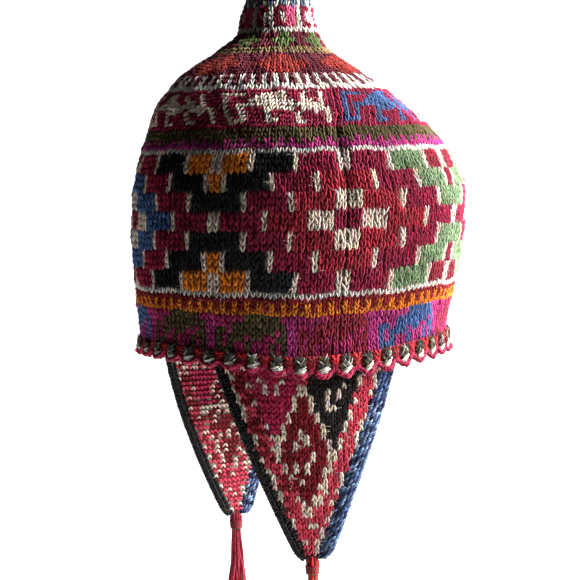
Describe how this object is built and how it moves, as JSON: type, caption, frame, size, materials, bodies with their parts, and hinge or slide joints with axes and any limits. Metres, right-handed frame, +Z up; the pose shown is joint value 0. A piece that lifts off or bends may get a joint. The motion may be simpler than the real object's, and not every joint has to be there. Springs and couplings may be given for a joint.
{
  "type": "chullo hat",
  "caption": "Knitted earflap hat with a patterned hollow crown drawn in to a peak, a puffed rim edging, and triangular ear flaps with edgings and yarn tassels.",
  "frame": {"origin": "middle of the head opening, level with the lower edge at the forehead", "axes": "+Z up through the peak, -Y towards the wearer's face, +X towards the wearer's left ear"},
  "size_m": [0.1858, 0.2061, 0.4299],
  "materials": {
    "crown_knit": "matt wool, two-colour knitting with crimson ground",
    "rim_yarn": "matt wool, grey-green and white puffs with crimson scallops",
    "flap_knit": "matt wool, two-colour knitting in reds, black and white",
    "blue_yarn": "matt wool, mottled blue edging",
    "black_yarn": "matt wool, black edging",
    "tassel_yarn": "matt plied wool yarn"
  },
  "bodies": {
    "root": {"crown": "crown_knit", "rim_edging": "rim_yarn", "ear_flap_right": "flap_knit", "ear_flap_left": "flap_knit", "flap_front_edging_right": "blue_yarn", "flap_front_edging_left": "blue_yarn", "flap_back_edging_right": "black_yarn", "flap_back_edging_left": "black_yarn", "tassel_right": "tassel_yarn", "tassel_left": "tassel_yarn"}
  },
  "joints": []
}
